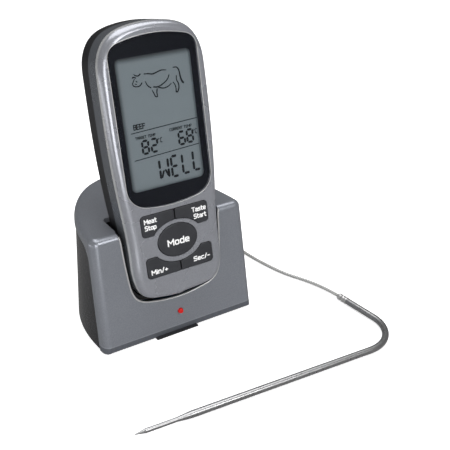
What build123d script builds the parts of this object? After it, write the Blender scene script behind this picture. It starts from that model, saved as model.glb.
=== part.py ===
from build123d import *
import math
import os

os.makedirs("parts", exist_ok=True)

# Millimetres. X is to the right, Y to the back, Z up.
# The origin is on the table, under the middle of the dock.

# Dock
DOCK_FRONT = -38.0          # y of the front plate's lower edge
DOCK_HEIGHT = 60.7
DOCK_LEAN = 9.3             # the front plate leans back by this many degrees
DOCK_WALL = 2.2
RIM_HEIGHT = 5.8            # the grey shell's rim, above the black rear body
FLANGE_DEPTH = 6.5          # the grey shell's side flange, ahead of the black rear body
SEAM_ROUND = 9.0
SHELL_BOTTOM = 0.4          # the front shell ends this far above the table
BEVEL_HEIGHT = 4.6
BEVEL_DEPTH = 1.1
BODY_STEP = 0.7             # the rear body stands in from the front shell
TAB_LEFT, TAB_RIGHT = -15.4, 9.0  # the bottom door's tab, which shows under the front shell
TAB_AHEAD = 1.0

# Receiver, in its own frame: x across, b back from its face, v up along its face
LEAN = 11.1
FACE_AHEAD = 8.0            # its face plane stands this far ahead of the dock's front lower edge
CREASE = 4.8                # depth of the crease between crown and side wall
SEAM = 13.5                 # depth where the front shell meets the rear cover
THICKNESS = 25.0
RECEIVER_WALL = 1.8
FACE_WALL = 1.7
POCKET_GAP = 0.9
MOUTH_GAP = 2.3             # room round the receiver in the dock's top wall
PAD_TOP = 23.35             # the rib in the pocket that the receiver stands on

# Keys and display
KEY_PROUD = 0.45
KEY_TRAVEL = 0.8
KEY_GAP = 0.3
MODE_CENTRE = 53.2
MODE_X, MODE_V = 11.0, 8.4
WINDOW_X, WINDOW_LOW, WINDOW_HIGH = 19.8, 81.5, 145.2
LENS_HALF = 23.3
LENS_LOW, LENS_HIGH, LENS_ARC = 71.9, 154.6, 70.0
LENS_THICK = 1.4
LENS_PROUD = 0.3

# Battery door in the receiver's back
DOOR_X, DOOR_LOW, DOOR_HIGH = 13.6, 88.0, 141.0
DOOR_THICK = 1.6
DOOR_GAP = 0.3

# Cells, probe and cable
AAA_RADIUS, AAA_LENGTH = 5.2, 44.5
CELL_DEPTH = THICKNESS - 7.2
PROBE_RADIUS, TIP_RADIUS = 1.75, 1.1
PROBE_AXIS_Z = 1.95
CABLE = 1.9
CABLE_Z = 1.0
COIL_CENTRE = (58.5, 58.7)
COIL_RADII = (9.5, 11.4, 13.3)
COIL_LAYERS = 4
JACK = (22.0, 30.4, 9.0)
JACK_YAW = 54.5             # direction of the plug, in degrees from +X towards +Y


def box(x0, x1, y0, y1, z0, z1):
    """A block between two corners."""
    return Pos((x0 + x1) / 2, (y0 + y1) / 2, (z0 + z1) / 2) * Box(x1 - x0, y1 - y0, z1 - z0)


def rod(radius, start, end):
    """A round bar from one point to another."""
    axis = Vector(*end) - Vector(*start)
    return Plane(origin=start, z_dir=axis) * extrude(Circle(radius), amount=axis.length)


def mirrored(points):
    """A closed run of points, from one half that starts and ends on the centre line."""
    return points + [(-x, y) for x, y in reversed(points[1:-1])]


def grown(points, distance):
    """A closed run of points, counter-clockwise, moved outwards by a distance."""
    moved = []
    for (x0, y0), (x, y), (x1, y1) in zip(points[-1:] + points[:-1], points, points[1:] + points[:1]):
        share = distance / math.hypot(x1 - x0, y1 - y0)
        moved.append((x + share * (y1 - y0), y - share * (x1 - x0)))
    return moved


def save(node, *solids):
    """Writes one node; several solids stay separate."""
    pieces = [solid for shape in solids for solid in shape.solids()]
    export_step(pieces[0] if len(pieces) == 1 else Compound(children=pieces), f"parts/{node}.step")


# ------------------------------------------------------------------ receiver's outline and its frame
RECEIVER_PLACE = Pos(
    0,
    DOCK_FRONT - FACE_AHEAD * math.cos(math.radians(LEAN)),
    FACE_AHEAD * math.sin(math.radians(LEAN)),
) * Rot(-LEAN, 0, 0)

# half of the crease's outline, and of the flat face's, from the bottom to the top
CREASE_HALF = [(0, 23.6), (12, 24.5), (21.1, 27.7), (24.4, 34.5), (25.3, 50), (27.0, 80), (28.1, 110),
               (28.0, 135), (26.7, 146.8), (20.7, 155.6), (10.6, 159.4), (0, 160.3)]
FACE_HALF = [(0, 26.4), (11, 27.1), (18.4, 29.2), (20.4, 34.5), (20.5, 50), (23.4, 80), (25.2, 110),
             (25.1, 134), (23.7, 144.4), (18.4, 152.3), (9.6, 156.0), (0, 156.9)]


def at_depth(b):
    return Plane(origin=(0, b, 0), x_dir=(1, 0, 0), z_dir=(0, -1, 0))


def slab(face, front, back):
    """A flat piece of the receiver: an outline in x and v, between two depths."""
    return extrude(at_depth(back) * face, amount=back - front, dir=(0, -1, 0))


def outline(share, grow=0.0):
    """The receiver's outline: share 0 is the crease's, 1 the flat face's."""
    half = [
        (cx + (fx - cx) * share, cv + (fv - cv) * share)
        for (cx, cv), (fx, fv) in zip(CREASE_HALF, FACE_HALF)
    ]
    return make_face(Spline(*grown(mirrored(half), grow), periodic=True))


def lens_outline(grow=0.0):
    disc = Circle(LENS_ARC + grow)
    face = (Pos(0, LENS_HIGH - LENS_ARC) * disc) & (Pos(0, LENS_LOW + LENS_ARC) * disc)
    face &= Pos(0, 115) * Rectangle(2 * (LENS_HALF + grow), 120)
    face = fillet(face.vertices().sort_by(Axis.Y)[-2:], 7 + grow)
    return fillet(face.vertices().sort_by(Axis.Y)[:2], 11 + grow)


def window_outline(grow=0.0):
    middle = (WINDOW_LOW + WINDOW_HIGH) / 2
    return Pos(0, middle) * RectangleRounded(2 * (WINDOW_X + grow), WINDOW_HIGH - WINDOW_LOW + 2 * grow, 2.5)


def mode_outline(grow=0.0):
    return Pos(0, MODE_CENTRE) * Ellipse(MODE_X + grow, MODE_V + grow)


def key_outline(side, upper, grow=0.0, centre_gap=0.35):
    """A corner key: a rounded block, bitten by the oval ring round the mode button."""
    low, high = (58.6, 69.3) if upper else (36.9, 47.3)
    inner, outer = centre_gap - grow, 18.6 + grow
    face = Pos((inner + outer) / 2, (low + high) / 2) * Rectangle(outer - inner, high - low + 2 * grow)
    face -= Pos(0, 52.9) * Ellipse(14.6 - grow, 11.05 - grow)
    far = face.vertices().filter_by(lambda p: p.X > outer - 1)
    face = fillet(far, 1.8 + grow)
    near = face.vertices().filter_by(lambda p: p.X < outer - 3.5)
    face = fillet(near, 0.6 + grow)
    return face if side > 0 else mirror(face, Plane.YZ)


def door_outline(shrink=0.0):
    width, height = 2 * (DOOR_X - shrink), DOOR_HIGH - DOOR_LOW - 2 * shrink
    return Pos(0, (DOOR_LOW + DOOR_HIGH) / 2) * Rectangle(width, height)


# ------------------------------------------------------------------ receiver's shells
BOSSES = [(-19.2, 32.2, 1.9), (19.2, 32.2, 1.9), (-19.5, 150.3, 2.3), (19.5, 150.3, 2.3)]

crown = loft([at_depth(CREASE) * outline(0), at_depth(1.05) * outline(0.42), at_depth(0) * outline(1)])
front_outer = crown + slab(outline(0), CREASE, SEAM)
front_cavity = slab(outline(0, -RECEIVER_WALL), CREASE - 0.7, SEAM + 1)
front_cavity += slab(outline(1, -1.3), FACE_WALL, CREASE - 0.5)
receiver_front_shell = front_outer - front_cavity
receiver_front_shell -= slab(lens_outline(0.12), -1, LENS_THICK - LENS_PROUD + 0.05)
receiver_front_shell -= slab(window_outline(0.8), -1, CREASE)
receiver_front_shell -= slab(mode_outline(KEY_GAP), -1, CREASE)
for upper in (True, False):
    pair = key_outline(1, upper, KEY_GAP, 0.0) + key_outline(-1, upper, KEY_GAP, 0.0)
    receiver_front_shell -= slab(pair, -1, CREASE)
for x, v, radius in BOSSES:
    receiver_front_shell += slab(Pos(x, v) * Circle(radius), FACE_WALL - 0.2, SEAM - 0.1)
    receiver_front_shell -= slab(Pos(x, v) * Circle(1.05), CREASE + 1, SEAM + 1)

rear_outer = slab(outline(0, -0.15), SEAM, THICKNESS)
rear_outer = fillet(rear_outer.edges().group_by(Axis.Y)[-1], 4.0)
rear_cavity = slab(outline(0, -RECEIVER_WALL - 0.15), SEAM - 1, THICKNESS - RECEIVER_WALL)
rear_cavity = fillet(rear_cavity.edges().group_by(Axis.Y)[-1], 2.8)
receiver_rear_cover = rear_outer - rear_cavity
tray = box(-DOOR_X - 1.2, DOOR_X + 1.2, CELL_DEPTH - 6.2, THICKNESS - 1.7, DOOR_LOW - 1.2, DOOR_HIGH + 1.2)
tray -= box(-11.6, 11.6, CELL_DEPTH - 5.3, THICKNESS, DOOR_LOW + 1.4, DOOR_HIGH - 1.4)
receiver_rear_cover += tray
receiver_rear_cover -= slab(door_outline(), THICKNESS - DOOR_THICK - 0.2, THICKNESS + 1)
receiver_rear_cover -= box(-11.6, 11.6, CELL_DEPTH - 3.2, THICKNESS, DOOR_LOW + 1.4, DOOR_HIGH - 1.4)
for x, v, radius in BOSSES:
    post = slab(Pos(x, v) * Circle(radius + 0.5), SEAM, THICKNESS - 1.2)
    receiver_rear_cover += post & rear_outer
    receiver_rear_cover -= slab(Pos(x, v) * Circle(1.25), SEAM - 1, THICKNESS + 1)
    receiver_rear_cover -= slab(Pos(x, v) * Circle(2.2), THICKNESS - 5.2, THICKNESS + 1)

door = slab(door_outline(DOOR_GAP), THICKNESS - DOOR_THICK, THICKNESS)
hinge_edges = door.edges().filter_by(Axis.X).group_by(Axis.Z)[0]
door = fillet(hinge_edges, DOOR_THICK / 2 - 0.02)
for i in range(4):
    door -= slab(Pos(0, DOOR_HIGH - 5 - 2.2 * i) * SlotOverall(12, 1.1), THICKNESS - 0.5, THICKNESS + 1)
receiver_battery_door = door

receiver_screws = [
    slab(Pos(x, v) * Circle(2.0), THICKNESS - 5.1, THICKNESS - 3.5)
    + slab(Pos(x, v) * Circle(0.95), CREASE + 2.2, THICKNESS - 5.0)
    - box(x - 1.3, x + 1.3, THICKNESS - 4.2, THICKNESS, v - 0.25, v + 0.25)
    - box(x - 0.25, x + 0.25, THICKNESS - 4.2, THICKNESS, v - 1.3, v + 1.3)
    for x, v, radius in BOSSES
]

# ------------------------------------------------------------------ receiver's display, keys and insides
LCD_FRONT, LCD_BACK = 2.3, 4.4
BOARD_FRONT, BOARD_BACK = 6.6, 7.8

lens = slab(lens_outline(), -LENS_PROUD, LENS_THICK - LENS_PROUD)
display_lens = fillet(lens.edges().group_by(Axis.Y)[0], 0.35)
window_middle = (WINDOW_LOW + WINDOW_HIGH) / 2
lcd_height = WINDOW_HIGH - WINDOW_LOW + 2.6
strip_front, strip_back = LCD_BACK + 0.05, BOARD_FRONT - 0.05
display_panel = slab(Pos(0, window_middle) * Rectangle(41.2, lcd_height), LCD_FRONT, LCD_BACK)
display_holder = slab(Pos(0, window_middle) * Rectangle(42.4, lcd_height + 2.4), strip_front, strip_back)
display_holder -= slab(Pos(0, window_middle) * Rectangle(36, lcd_height - 10), LCD_BACK - 1, BOARD_FRONT + 1)
strip_places = [window_middle + side * (lcd_height / 2 - 1.6) for side in (-1, 1)]
display_connectors = [box(-19, 19, strip_front, strip_back, v - 0.9, v + 0.9) for v in strip_places]
for v in strip_places:
    display_holder -= box(-19.1, 19.1, LCD_BACK - 1, BOARD_FRONT + 1, v - 1.0, v + 1.0)

receiver_circuit_board = slab(Pos(0, 91.5) * RectangleRounded(41, 112, 1.5), BOARD_FRONT, BOARD_BACK)
receiver_processor = box(-7, 7, BOARD_BACK, 8.9, 58, 72)
receiver_processor = fillet(receiver_processor.edges().group_by(Axis.Y)[-1], 0.9)
receiver_radio_module = box(-16, -4, BOARD_BACK, 10.4, 42, 56)
buzzer = slab(Pos(11, 50) * Circle(6), BOARD_BACK, 11.3) - slab(Pos(11, 50) * Circle(1), 10, 12)
receiver_antenna = rod(0.6, (-21.8, 10.0, 60), (-21.8, 10.0, 138))

key_back = FACE_WALL + 1.5
pad_front = key_back + KEY_TRAVEL + 0.1
keypad_mat = slab(Pos(0, 53) * RectangleRounded(39.5, 36.5, 2), BOARD_FRONT - 0.9, BOARD_FRONT)
pill_places = [(0, MODE_CENTRE)] + [(x * 12, v) for x in (-1, 1) for v in (65.5, 40.5)]
for x, v in pill_places:
    keypad_mat += slab(Pos(x, v) * Circle(2.6), pad_front, BOARD_FRONT - 0.5)


def keycap(face, flange):
    """A key with a soft front edge, and behind the shell's wall a flange that keeps it in."""
    cap = slab(face, -KEY_PROUD, key_back)
    cap = fillet(cap.edges().group_by(Axis.Y)[0], 0.3)
    return cap + slab(flange, FACE_WALL + 0.25, key_back)


mode_button = keycap(mode_outline(), mode_outline(0.9))
corner_keys = {}
for row, upper in (("upper", True), ("lower", False)):
    for name, side in (("left", -1), ("right", 1)):
        room = Pos(side * 9.6, 53) * Rectangle(18.5, 60)
        flange = key_outline(side, upper, 0.8) & room
        corner_keys[f"key_{row}_{name}"] = keycap(key_outline(side, upper), flange)


def cell(negative, positive):
    """An AAA cell between two points."""
    axis = (Vector(*positive) - Vector(*negative)).normalized()
    shoulder = Vector(*positive) - axis * 0.9
    return rod(AAA_RADIUS, negative, tuple(shoulder)) + rod(1.9, tuple(shoulder), positive)


cell_low = (DOOR_LOW + DOOR_HIGH - AAA_LENGTH) / 2
cell_high = cell_low + AAA_LENGTH
receiver_batteries = [
    cell((-5.7, CELL_DEPTH, cell_low), (-5.7, CELL_DEPTH, cell_high)),
    cell((5.7, CELL_DEPTH, cell_high), (5.7, CELL_DEPTH, cell_low)),
]
receiver_battery_contacts = []
for v, out in ((cell_low, -1), (cell_high, 1)):
    wall = v + out * 2.4
    low, high = sorted((wall, wall + out * 0.4))
    plate = box(-10.8, 10.8, CELL_DEPTH - 4.6, CELL_DEPTH + 4.4, low, high)
    spring_x = -5.7 if out < 0 else 5.7
    spring = rod(2.6, (spring_x, CELL_DEPTH, v + out * 0.05), (spring_x, CELL_DEPTH, wall))
    stud = rod(1.4, (-spring_x, CELL_DEPTH, v + out * 0.05), (-spring_x, CELL_DEPTH, wall))
    receiver_battery_contacts.append(plate + spring + stud)

# ------------------------------------------------------------------ dock's shells
FRONT_PLACE = Pos(0, DOCK_FRONT, 0) * Rot(-DOCK_LEAN, 0, 0)
SLOPE = math.tan(math.radians(DOCK_LEAN))
# the dock's side and back at the table and at its top, from the front corner to the middle of the back
BASE_HALF = [(43.6, -38.0), (45.0, -18.0), (42.4, 0.0), (33.9, 19.6), (19.1, 33.5), (0.0, 38.4)]
TOP_HALF = [(43.6, -28.1), (41.8, -13.2), (37.6, 4.8), (29.7, 21.2), (17.5, 34.9), (0.0, 40.9)]


def dock_section(z, inset=0.0):
    """The dock's outline at a height: a straight front edge, and one smooth curve round sides and back."""
    share = z / DOCK_HEIGHT
    shrink_x, shrink_y = 1 - inset / 44.0, 1 - inset / 39.0
    half = [
        ((bx + (tx - bx) * share) * shrink_x, (by + (ty - by) * share) * shrink_y)
        for (bx, by), (tx, ty) in zip(BASE_HALF, TOP_HALF)
    ]
    round_back = half + [(-x, y) for x, y in reversed(half[:-1])]
    curve = Spline(*round_back)
    return Pos(0, 0, z) * make_face([curve, Line(round_back[-1], round_back[0])])


def dock_solid(low, high, inset=0.0):
    return loft([dock_section(low, inset), dock_section(high, inset)], ruled=True)


def in_front_frame(shape):
    return FRONT_PLACE * shape


dock_outer = dock_solid(0, DOCK_HEIGHT)
front_corners = dock_outer.edges().filter_by(
    lambda edge: abs(edge.center().Z - DOCK_HEIGHT / 2) < 8 and edge.length > 50
)
dock_outer = fillet(front_corners.sort_by(Axis.Y)[:2], 4.6)
dock_outer = fillet(dock_outer.edges().group_by(Axis.Z)[-1], 3.6)

seam_front = DOCK_FRONT + FLANGE_DEPTH
seam_top = DOCK_HEIGHT - RIM_HEIGHT
seam_peak = (seam_front + seam_top * SLOPE, seam_top)
rear_profile = Polyline((seam_front - 30 * SLOPE, -30), seam_peak, (90, seam_top), (90, -30), close=True)
rear_face = make_face(rear_profile)
seam_corner = rear_face.vertices().sort_by_distance(seam_peak)[0]
rear_face = fillet(seam_corner, SEAM_ROUND)
rear_space = extrude(Plane.YZ * rear_face, amount=60, both=True)

dock_cavity = dock_solid(-1, DOCK_HEIGHT - 2.4, DOCK_WALL)
pocket_space = RECEIVER_PLACE * slab(outline(0, POCKET_GAP), -4, THICKNESS + POCKET_GAP)
mouth = slab(outline(0, MOUTH_GAP), -4, THICKNESS + POCKET_GAP)
mouth = fillet(mouth.edges().group_by(Axis.Y)[-1], 3.0)
mouth = (RECEIVER_PLACE * mouth) & box(-60, 60, -60, 60, DOCK_HEIGHT - 2.45, 80)

cut_half = [(0, 19.9), (12, 21.0), (21.2, 23.6), (25.4, 29.5), (26.9, 40), (27.7, 52)]
cut_curve = Spline(*([(-x, v) for x, v in reversed(cut_half[1:])] + cut_half))
lip = 28.9
cut_face = make_face([
    cut_curve,
    ThreePointArc((27.7, 52), (28.0, 57.5), (lip, 62.4)),
    Line((lip, 62.4), (lip, 70)),
    Line((lip, 70), (-lip, 70)),
    Line((-lip, 70), (-lip, 62.4)),
    ThreePointArc((-lip, 62.4), (-28.0, 57.5), (-27.7, 52)),
])
cut_tool = in_front_frame(slab(cut_face, -4, DOCK_WALL + 2.6))

LED_HEIGHT = 11.6
front_shell = dock_outer - rear_space - dock_cavity
front_shell -= box(-60, 60, -60, 60, -5, SHELL_BOTTOM)
front_shell -= box(TAB_LEFT - 0.3, TAB_RIGHT + 0.3, -60, 0, -5, 0.8)
bevel_line = Polyline((0, BEVEL_HEIGHT), (BEVEL_DEPTH, -0.5), (-5, -0.5), (-5, BEVEL_HEIGHT), close=True)
wedge = make_face(bevel_line)
front_shell -= in_front_frame(extrude(Plane.YZ * wedge, amount=60, both=True))
front_shell -= cut_tool
front_shell -= pocket_space
front_shell -= mouth
front_shell -= in_front_frame(slab(Pos(0, LED_HEIGHT) * Circle(1.65), -2, 6))

POSTS = [(-34.5, -19.0), (34.5, -19.0), (-24.0, 17.0), (24.0, 17.0)]
for x, y in POSTS:
    post = Pos(x, y, 0) * extrude(Circle(3.0), amount=DOCK_HEIGHT - 1.5)
    front_shell += post & (dock_cavity - box(-60, 60, -60, 60, -5, 2.5))
    front_shell -= Pos(x, y, -1) * extrude(Circle(1.35), amount=16)
dock_front_shell = front_shell

rear_body = (dock_solid(0.2, seam_top, BODY_STEP) & rear_space) - dock_cavity
jack_dir = (math.cos(math.radians(JACK_YAW)), math.sin(math.radians(JACK_YAW)), 0)
jack_plane = Plane(origin=JACK, x_dir=(jack_dir[1], -jack_dir[0], 0), z_dir=jack_dir)
rear_body -= jack_plane * Pos(0, 0, -8) * extrude(Circle(3.3), amount=20)
rear_body -= jack_plane * extrude(Circle(4.4), amount=12)
SWITCH_Z = 14.0
rear_body -= box(-5.2, 5.2, 30, 45, SWITCH_Z - 1.7, SWITCH_Z + 1.7)
dock_rear_body = rear_body

DOCK_DOOR_X, DOCK_DOOR_BACK = 25.0, -3.5
bottom_plate = dock_solid(0, 2.4, DOCK_WALL + 0.2)
bottom_plate -= box(-60, 60, -60, DOCK_FRONT + FLANGE_DEPTH + 0.4, -1, 4)
bottom_plate -= box(-DOCK_DOOR_X - 0.3, DOCK_DOOR_X + 0.3, -60, DOCK_DOOR_BACK + 0.3, -1, 1.1)
bottom_plate -= box(-23.9, 23.9, -60, DOCK_DOOR_BACK - 1.2, -1, 4)
tray = box(-25.6, 25.6, -28.8, -2.6, 2.3, 8.0) - box(-24.4, 24.4, -27.8, -3.8, 1, 9)
dock_bottom_cover = bottom_plate + tray
for x, y in POSTS:
    dock_bottom_cover -= Pos(x, y, -1) * extrude(Circle(1.5), amount=5)
    dock_bottom_cover -= Pos(x, y, -1) * extrude(Circle(2.9), amount=2.2)

door_plate = box(-DOCK_DOOR_X, DOCK_DOOR_X, -31.0, DOCK_DOOR_BACK, 0.05, 1.0)
door_plate += box(TAB_LEFT, TAB_RIGHT, DOCK_FRONT - TAB_AHEAD, -31.0, 0.05, 0.65)
for i in range(4):
    door_plate -= box(-8, 8, -27.5 + 2.2 * i, -26.7 + 2.2 * i, -1, 0.35)
dock_battery_door = door_plate

liner = slab(outline(0, POCKET_GAP + 1.6), 6, THICKNESS + POCKET_GAP + 1.6)
liner -= slab(outline(0, POCKET_GAP), -4, THICKNESS + POCKET_GAP)
liner += slab(Pos(0, (PAD_TOP + 21.9) / 2) * Rectangle(8, PAD_TOP - 21.9), 9, 21)
liner = RECEIVER_PLACE * liner
liner_room = dock_solid(-1, DOCK_HEIGHT - 2.5, DOCK_WALL + 0.1)
dock_pocket_liner = liner & liner_room

# ------------------------------------------------------------------ dock's insides
led = slab(Pos(0, LED_HEIGHT) * Circle(1.5), -0.2, 3.4) + slab(Pos(0, LED_HEIGHT) * Circle(1.9), 2.6, 3.5)
led += Pos(0, -0.2, LED_HEIGHT) * Sphere(1.5) & slab(Pos(0, LED_HEIGHT) * Circle(1.6), -1.2, 0)
indicator_light = in_front_frame(led)

DOCK_CELL_Z = 7.6
dock_batteries = [
    cell((-AAA_LENGTH / 2, -21.3, DOCK_CELL_Z), (AAA_LENGTH / 2, -21.3, DOCK_CELL_Z)),
    cell((AAA_LENGTH / 2, -10.1, DOCK_CELL_Z), (-AAA_LENGTH / 2, -10.1, DOCK_CELL_Z)),
]
dock_battery_contacts = []
for side in (-1, 1):
    end = side * AAA_LENGTH / 2
    wall = side * 23.9
    plate = box(min(wall, wall + side * 0.4), max(wall, wall + side * 0.4), -26.5, -5.0, 3.0, 11.5)
    spring_y, stud_y = (-21.3, -10.1) if side < 0 else (-10.1, -21.3)
    spring = rod(2.6, (end + side * 0.05, spring_y, DOCK_CELL_Z), (wall, spring_y, DOCK_CELL_Z))
    stud = rod(1.4, (end + side * 0.05, stud_y, DOCK_CELL_Z), (wall, stud_y, DOCK_CELL_Z))
    dock_battery_contacts.append(plate + spring + stud)

dock_circuit_board = box(-27, 27, 3.0, 4.6, 5.0, 52.0)
dock_radio_module = box(-8, 8, 4.6, 7.4, 30.0, 46.0)
dock_antenna = rod(0.6, (-20.0, 6.6, 8.0), (-20.0, 6.6, 50.0))
jack_body = extrude(Circle(3.2), amount=12.0) + Pos(0, 0, 5.0) * Box(8, 7, 9)
jack_body -= Pos(0, 0, 0.8) * extrude(Circle(1.3), amount=12)
probe_jack = jack_plane * (Pos(0, 0, -12.0) * jack_body)

switch_body = box(-5.5, 5.5, 29.0, 34.0, SWITCH_Z - 3, SWITCH_Z + 3)
switch_body -= box(-4.4, 4.4, 32.0, 35.0, SWITCH_Z - 1.4, SWITCH_Z + 1.4)
power_switch_body = switch_body
power_switch_knob = box(-3.9, 0.6, 32.4, 40.3, SWITCH_Z - 1.2, SWITCH_Z + 1.2)
power_switch_knob = fillet(power_switch_knob.edges().group_by(Axis.Y)[-1], 0.5)

dock_screws = [
    Pos(x, y, 0.2) * extrude(Circle(2.6), amount=1.0) + Pos(x, y, 1.0) * extrude(Circle(1.2), amount=12)
    for x, y in POSTS
]

# ------------------------------------------------------------------ plug, cable and probe
PLUG_LENGTH, RELIEF_LENGTH = 17.0, 13.0
plug_pin = jack_plane * (Pos(0, 0, -10.6) * extrude(Circle(1.22), amount=10.8))
grip = extrude(Circle(3.6), amount=PLUG_LENGTH - 0.2)
grip = Pos(0, 0, 0.2) * fillet(grip.edges().group_by(Axis.Z)[-1], 1.0)
plug_body = jack_plane * grip
relief = loft([
    Pos(0, 0, PLUG_LENGTH) * Circle(2.5),
    Pos(0, 0, PLUG_LENGTH + RELIEF_LENGTH) * Circle(1.4),
])
plug_strain_relief = jack_plane * relief


def cable_path(points):
    """Straight runs joined by tangent arcs, each as large as its two runs allow."""
    corners = [Vector(*p) for p in points]
    radii = []
    for before, corner, after in zip(corners, corners[1:], corners[2:]):
        run_in, run_out = corner - before, after - corner
        half_turn = math.radians(run_in.get_angle(run_out)) / 2
        radii.append(0.45 * min(run_in.length, run_out.length) / math.tan(half_turn))
    print("cable radii", [round(radius, 1) for radius in radii])
    return FilletPolyline(*points, radius=radii)


def cable_tube(points, name):
    path = cable_path(points)
    start = Plane(origin=path @ 0, z_dir=path % 0)
    tube = sweep(start * Circle(CABLE / 2), path=path)
    expected = math.pi * CABLE ** 2 / 4 * path.length
    print(name, "length", round(path.length, 1))
    print(name, "volume", round(tube.volume, 1), "expected", round(expected, 1))
    return tube


relief_end = jack_plane.origin + Vector(*jack_dir) * (PLUG_LENGTH + RELIEF_LENGTH)
lead_points = [(relief_end.X, relief_end.Y, 9.0), (43.2, 59.9, 8.7), (47.7, 67.0, 6.9)]
cable_lead = cable_tube(lead_points, "cable_lead")

coil_inner = COIL_RADII[0] - CABLE / 2
coil_outer = COIL_RADII[-1] + CABLE / 2
coil_height = CABLE * COIL_LAYERS
coil = extrude(Circle(coil_outer) - Circle(coil_inner), amount=coil_height)
cable_coil = Pos(*COIL_CENTRE, CABLE_Z - CABLE / 2) * fillet(coil.edges(), 0.8)

# the ferrule at the rod's short end, the bend's corner, and the point of the rod
FERRULE_START, BEND_CORNER, POINT_END = (88.5, -58.4), (93.0, -107.6), (-58.5, -97.9)
BEND_RADIUS = 19.5
FERRULE_LENGTH = 6.5
short_leg = (Vector(*BEND_CORNER) - Vector(*FERRULE_START)).normalized()
long_leg = (Vector(*POINT_END) - Vector(*BEND_CORNER)).normalized()


def on_table(point, z=PROBE_AXIS_Z):
    return (point.X, point.Y, z)


run_points = [
    (71.5, 57.0, CABLE_Z),
    (71.3, 45.5, CABLE_Z),
    (70.3, 32.0, CABLE_Z),
    (71.4, 18.0, CABLE_Z),
    (72.2, 6.0, CABLE_Z),
    (74.6, -8.5, CABLE_Z),
    (78.2, -22.5, CABLE_Z),
    (83.9, -34.4, CABLE_Z + 0.1),
    (87.5, -47.0, CABLE_Z + 0.5),
    (88.5, -58.6, PROBE_AXIS_Z),
]
cable_run = cable_tube(run_points, "cable_run")

ferrule_start = Vector(*FERRULE_START)
ferrule_end = ferrule_start + short_leg * FERRULE_LENGTH
probe_ferrule = rod(1.92, on_table(ferrule_start), on_table(ferrule_end))
probe_ferrule = fillet(probe_ferrule.edges(), 0.45)

TIP_LENGTH, POINT_LENGTH, TAPER_LENGTH = 21.0, 5.5, 7.0
taper_start = Vector(*POINT_END) - long_leg * (TIP_LENGTH + TAPER_LENGTH)
tube_path = FilletPolyline(
    on_table(ferrule_end), on_table(Vector(*BEND_CORNER)), on_table(taper_start), radius=BEND_RADIUS
)
probe_tube = sweep(Plane(origin=tube_path @ 0, z_dir=tube_path % 0) * Circle(PROBE_RADIUS), path=tube_path)
tip_plane = Plane(origin=on_table(taper_start), z_dir=(long_leg.X, long_leg.Y, 0))
point_end = TAPER_LENGTH + TIP_LENGTH
tip_half = make_face(Polyline(
    (0, 0), (PROBE_RADIUS, 0), (TIP_RADIUS, TAPER_LENGTH), (TIP_RADIUS, point_end - POINT_LENGTH),
    (0.12, point_end), (0, point_end), close=True
))
probe_tip = tip_plane * revolve(Plane.XZ * tip_half, axis=Axis.Z)

# ------------------------------------------------------------------ nodes
DOCK_NODES = {
    "dock_front_shell": dock_front_shell,
    "dock_rear_body": dock_rear_body,
    "dock_bottom_cover": dock_bottom_cover,
    "dock_pocket_liner": dock_pocket_liner,
    "dock_battery_door": dock_battery_door,
    "indicator_light": indicator_light,
    "dock_batteries": dock_batteries,
    "dock_battery_contacts": dock_battery_contacts,
    "dock_circuit_board": dock_circuit_board,
    "dock_radio_module": dock_radio_module,
    "dock_antenna": dock_antenna,
    "probe_jack": probe_jack,
    "power_switch_body": power_switch_body,
    "power_switch_knob": power_switch_knob,
    "dock_screws": dock_screws,
    "plug_pin": plug_pin,
    "plug_body": plug_body,
    "plug_strain_relief": plug_strain_relief,
    "cable_lead": cable_lead,
    "cable_coil": cable_coil,
    "cable_run": cable_run,
    "probe_ferrule": probe_ferrule,
    "probe_tube": probe_tube,
    "probe_tip": probe_tip,
}
RECEIVER_NODES = {
    "receiver_front_shell": receiver_front_shell,
    "receiver_rear_cover": receiver_rear_cover,
    "receiver_battery_door": receiver_battery_door,
    "receiver_screws": receiver_screws,
    "display_lens": display_lens,
    "display_panel": display_panel,
    "display_holder": display_holder,
    "display_connectors": display_connectors,
    "receiver_circuit_board": receiver_circuit_board,
    "receiver_processor": receiver_processor,
    "receiver_radio_module": receiver_radio_module,
    "receiver_antenna": receiver_antenna,
    "buzzer": buzzer,
    "keypad_mat": keypad_mat,
    "mode_button": mode_button,
    **corner_keys,
    "receiver_batteries": receiver_batteries,
    "receiver_battery_contacts": receiver_battery_contacts,
}

for node, shape in DOCK_NODES.items():
    save(node, *(shape if isinstance(shape, list) else [shape]))
for node, shape in RECEIVER_NODES.items():
    save(node, *[RECEIVER_PLACE * piece for piece in (shape if isinstance(shape, list) else [shape])])
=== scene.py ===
import math

import bmesh
import bpy
from mathutils import Matrix, Vector


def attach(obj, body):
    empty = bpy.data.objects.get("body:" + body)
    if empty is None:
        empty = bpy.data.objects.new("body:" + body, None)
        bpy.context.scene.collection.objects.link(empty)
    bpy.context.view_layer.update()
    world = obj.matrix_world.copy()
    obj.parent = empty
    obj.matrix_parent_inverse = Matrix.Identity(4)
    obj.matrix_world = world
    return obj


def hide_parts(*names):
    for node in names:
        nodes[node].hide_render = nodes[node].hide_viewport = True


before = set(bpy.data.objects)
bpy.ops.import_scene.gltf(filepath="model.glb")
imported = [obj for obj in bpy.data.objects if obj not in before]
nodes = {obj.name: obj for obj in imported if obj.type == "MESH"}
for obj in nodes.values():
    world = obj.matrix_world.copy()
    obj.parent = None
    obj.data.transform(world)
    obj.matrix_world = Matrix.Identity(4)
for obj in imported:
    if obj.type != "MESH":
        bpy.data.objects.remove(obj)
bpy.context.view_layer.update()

MM = 0.001

# ------------------------------------------------------------------ frames of the two leaning faces
DOCK_FRONT = -38.0
DOCK_LEAN = math.radians(9.3)
FACE_AHEAD = 8.0
LEAN = math.radians(11.1)


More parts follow.
